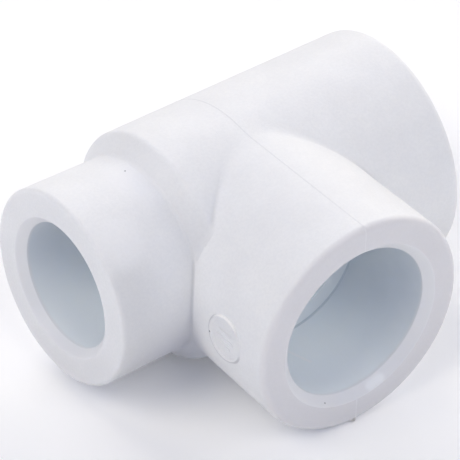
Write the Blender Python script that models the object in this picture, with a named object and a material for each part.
"""A reducing socket tee for fusion-welded polypropylene pipe: 25 mm run, 25 mm branch, 20 mm reduced end.

The real fitting is one injection moulding with nothing fitted to it, so the model is one solid. The run lies
along X, with the 25 mm socket at +X and the reduced 20 mm socket at -X. The branch leaves towards -Y, and the
fitting lies on its flank with +Z up. The origin is below the middle of the fitting, on the surface it lies on.
"""

import math
from collections import namedtuple

import bmesh
import bpy
from mathutils import Matrix, Vector

MM = 0.001

# The inside of a socket, from the mouth inwards: a chamfer, a slightly tapered wall for the pipe, a flat stop
# that the pipe's end meets, and the narrower waterway beyond it.
Socket = namedtuple(
    "Socket", "chamfer_radius chamfer_depth mouth_radius root_radius depth waterway_radius"
)
SOCKET_25 = Socket(13.4 * MM, 1.2 * MM, 12.1 * MM, 11.8 * MM, 16.1 * MM, 9.0 * MM)
SOCKET_20 = Socket(10.75 * MM, 1.2 * MM, 9.6 * MM, 9.4 * MM, 14.5 * MM, 6.6 * MM)

# Run: both mouths are the same distance from the branch's axis.
RUN_HALF_LENGTH = 29.4 * MM
RUN_MOUTH_OUTER_RADIUS = 17.7 * MM
BODY_OUTER_RADIUS = 17.5 * MM
REDUCED_MOUTH_OUTER_RADIUS = 15.05 * MM
REDUCED_ROOT_OUTER_RADIUS = 14.85 * MM
SHOULDER_FOOT_X = -15.6 * MM
SHOULDER_TOP_X = -12.9 * MM

# The run's waterway is a little wider than the branch's, so that the two bores cross cleanly.
RUN_WATERWAY_RADIUS = 9.2 * MM
REDUCER_WIDE_END_X = -9.4 * MM
REDUCER_NARROW_END_X = -12.0 * MM

# Branch: the length is from the run's axis to the branch's mouth.
BRANCH_LENGTH = 31.4 * MM
BRANCH_MOUTH_OUTER_RADIUS = 17.55 * MM
BRANCH_ROOT_OUTER_RADIUS = 16.85 * MM

# Round left by a mould insert on the branch's flank: a flat-faced disc that stands a little proud.
INSERT_MARK_RADIUS = 3.6 * MM
INSERT_MARK_FROM_AXIS = 22.6 * MM
INSERT_MARK_RISE = 0.2 * MM
INSERT_MARK_FACE = 17.52 * MM
INSERT_MARK_ROOT = 15.6 * MM

# Roundings of the outer edges.
RIM_ROUNDING = 1.1 * MM
REDUCED_RIM_ROUNDING = 0.7 * MM
SHOULDER_ROUNDING = 0.8 * MM

# How far a cutter runs past the mouth that it opens.
CUTTER_OVERRUN = 1.0 * MM

SEGMENTS = 72
INSERT_MARK_SEGMENTS = 24
ROUNDING_STEPS = 3
SHARP_ANGLE = math.radians(30)

# The axes cross here, which puts the origin below the middle of the fitting.
AXES_CROSSING = Vector((0.0, (BRANCH_LENGTH - RUN_MOUTH_OUTER_RADIUS) / 2, RUN_MOUTH_OUTER_RADIUS))

# A profile's own axis is Z. These turn it along the run, or out along the branch or the insert mark.
ALONG_RUN = Matrix.Rotation(math.radians(90), 4, "Y")
ALONG_BRANCH = Matrix.Rotation(math.radians(90), 4, "X")
TOWARDS_FLANK = Matrix.Rotation(math.radians(-90), 4, "Y")


def clear_scene():
    for obj in list(bpy.data.objects):
        bpy.data.objects.remove(obj, do_unlink=True)


def rounded(corner, before, after, radius):
    """Points of the arc that rounds off a corner of a profile."""
    corner, before, after = Vector(corner), Vector(before), Vector(after)
    towards_before = (before - corner).normalized()
    towards_after = (after - corner).normalized()
    half_angle = towards_before.angle(towards_after) / 2
    bisector = (towards_before + towards_after).normalized()
    centre = corner + bisector * (radius / math.sin(half_angle))
    start = corner + towards_before * (radius / math.tan(half_angle)) - centre
    end = corner + towards_after * (radius / math.tan(half_angle)) - centre
    turn = math.pi - 2 * half_angle
    points = []
    for step in range(ROUNDING_STEPS + 1):
        share = step / ROUNDING_STEPS
        from_start = math.sin((1 - share) * turn) / math.sin(turn)
        from_end = math.sin(share * turn) / math.sin(turn)
        points.append(centre + start * from_start + end * from_end)
    return points


def profile_points(corners):
    """Corners are (distance along the axis, radius, rounding). A corner with no rounding stays sharp."""
    points = []
    for index, (along, radius, rounding) in enumerate(corners):
        if rounding:
            before = corners[index - 1][:2]
            after = corners[index + 1][:2]
            points += rounded((along, radius), before, after, rounding)
        else:
            points.append(Vector((along, radius)))
    return points


def turned(name, corners, direction, segments=SEGMENTS, centre=AXES_CROSSING):
    """A closed solid of revolution. Its profile starts and ends on the axis, which points along direction."""
    bm = bmesh.new()
    verts = [bm.verts.new((point.y, 0.0, point.x)) for point in profile_points(corners)]
    edges = [bm.edges.new(pair) for pair in zip(verts, verts[1:])]
    bmesh.ops.spin(
        bm,
        geom=verts + edges,
        cent=(0, 0, 0),
        axis=(0, 0, 1),
        angle=math.tau,
        steps=segments,
        use_merge=True,
        use_duplicate=False,
    )
    bmesh.ops.remove_doubles(bm, verts=bm.verts, dist=0.001 * MM)
    bmesh.ops.dissolve_limit(
        bm, angle_limit=math.radians(0.01), verts=bm.verts, edges=end_spokes(bm)
    )
    bmesh.ops.recalc_face_normals(bm, faces=bm.faces)
    mesh = bpy.data.meshes.new(name)
    bm.to_mesh(mesh)
    bm.free()
    obj = bpy.data.objects.new(name, mesh)
    bpy.context.scene.collection.objects.link(obj)
    obj.matrix_world = Matrix.Translation(centre) @ direction
    return obj


def end_spokes(bm):
    """Edges that meet on the axis, so that each flat end becomes one face."""
    return [edge for edge in bm.edges if any(vert.co.xy.length < 0.001 * MM for vert in edge.verts)]


def run_outside():
    return turned(
        "tee_moulding",
        [
            (-RUN_HALF_LENGTH, 0.0, 0.0),
            (-RUN_HALF_LENGTH, REDUCED_MOUTH_OUTER_RADIUS, REDUCED_RIM_ROUNDING),
            (SHOULDER_FOOT_X, REDUCED_ROOT_OUTER_RADIUS, SHOULDER_ROUNDING),
            (SHOULDER_TOP_X, BODY_OUTER_RADIUS, SHOULDER_ROUNDING),
            (RUN_HALF_LENGTH, RUN_MOUTH_OUTER_RADIUS, RIM_ROUNDING),
            (RUN_HALF_LENGTH, 0.0, 0.0),
        ],
        ALONG_RUN,
    )


def branch_outside():
    return turned(
        "branch_outside",
        [
            (0.0, 0.0, 0.0),
            (0.0, BRANCH_ROOT_OUTER_RADIUS, 0.0),
            (BRANCH_LENGTH, BRANCH_MOUTH_OUTER_RADIUS, RIM_ROUNDING),
            (BRANCH_LENGTH, 0.0, 0.0),
        ],
        ALONG_BRANCH,
    )


def insert_mark():
    """The disc's axis points out of the flank, towards -X."""
    return turned(
        "insert_mark",
        [
            (INSERT_MARK_ROOT, 0.0, 0.0),
            (INSERT_MARK_ROOT, INSERT_MARK_RADIUS, 0.0),
            (INSERT_MARK_FACE, INSERT_MARK_RADIUS, 0.0),
            (INSERT_MARK_FACE, 0.0, 0.0),
        ],
        TOWARDS_FLANK,
        segments=INSERT_MARK_SEGMENTS,
        centre=AXES_CROSSING + Vector((0.0, -INSERT_MARK_FROM_AXIS, INSERT_MARK_RISE)),
    )


def socket_cut(socket, mouth, outward):
    """Profile corners of a socket's inside, from its stop out past its mouth. Outward is +1 or -1."""
    slope = (socket.chamfer_radius - socket.mouth_radius) / socket.chamfer_depth
    past_mouth = mouth + outward * CUTTER_OVERRUN
    return [
        (mouth - outward * socket.depth, socket.root_radius, 0.0),
        (mouth - outward * socket.chamfer_depth, socket.mouth_radius, 0.0),
        (past_mouth, socket.chamfer_radius + slope * CUTTER_OVERRUN, 0.0),
        (past_mouth, 0.0, 0.0),
    ]


def run_bore():
    """Both sockets of the run and the waterway between them, which narrows to the reduced end."""
    reduced_socket = socket_cut(SOCKET_20, -RUN_HALF_LENGTH, -1)
    reduced_stop = -RUN_HALF_LENGTH + SOCKET_20.depth
    large_stop = RUN_HALF_LENGTH - SOCKET_25.depth
    waterway = [
        (reduced_stop, SOCKET_20.waterway_radius, 0.0),
        (REDUCER_NARROW_END_X, SOCKET_20.waterway_radius, 0.0),
        (REDUCER_WIDE_END_X, RUN_WATERWAY_RADIUS, 0.0),
        (large_stop, RUN_WATERWAY_RADIUS, 0.0),
    ]
    large_socket = socket_cut(SOCKET_25, RUN_HALF_LENGTH, 1)
    return turned("run_bore", reduced_socket[::-1] + waterway + large_socket, ALONG_RUN)


def branch_bore():
    """The branch's socket and its waterway, which ends inside the run's."""
    stop = BRANCH_LENGTH - SOCKET_25.depth
    waterway = [
        (0.0, 0.0, 0.0),
        (0.0, SOCKET_25.waterway_radius, 0.0),
        (stop, SOCKET_25.waterway_radius, 0.0),
    ]
    return turned("branch_bore", waterway + socket_cut(SOCKET_25, BRANCH_LENGTH, 1), ALONG_BRANCH)


def combine(target, tool, operation):
    """Adds a Boolean modifier to target. The tool stays in the file as a hidden guide."""
    modifier = target.modifiers.new(tool.name, "BOOLEAN")
    modifier.operation = operation
    modifier.solver = "EXACT"
    modifier.object = tool
    tool.hide_render = True
    tool.display_type = "WIRE"


def white_polypropylene():
    material = bpy.data.materials.new("white_polypropylene")
    material.use_nodes = True
    shader = material.node_tree.nodes["Principled BSDF"]
    shader.inputs["Base Color"].default_value = (0.80, 0.81, 0.83, 1.0)
    shader.inputs["Roughness"].default_value = 0.55
    shader.inputs["Metallic"].default_value = 0.0
    return material


def main():
    clear_scene()
    moulding = run_outside()
    combine(moulding, branch_outside(), "UNION")
    combine(moulding, insert_mark(), "UNION")
    combine(moulding, run_bore(), "DIFFERENCE")
    combine(moulding, branch_bore(), "DIFFERENCE")
    moulding.data.materials.append(white_polypropylene())
    moulding.data.shade_smooth()
    moulding.data.set_sharp_from_angle(angle=SHARP_ANGLE)


main()
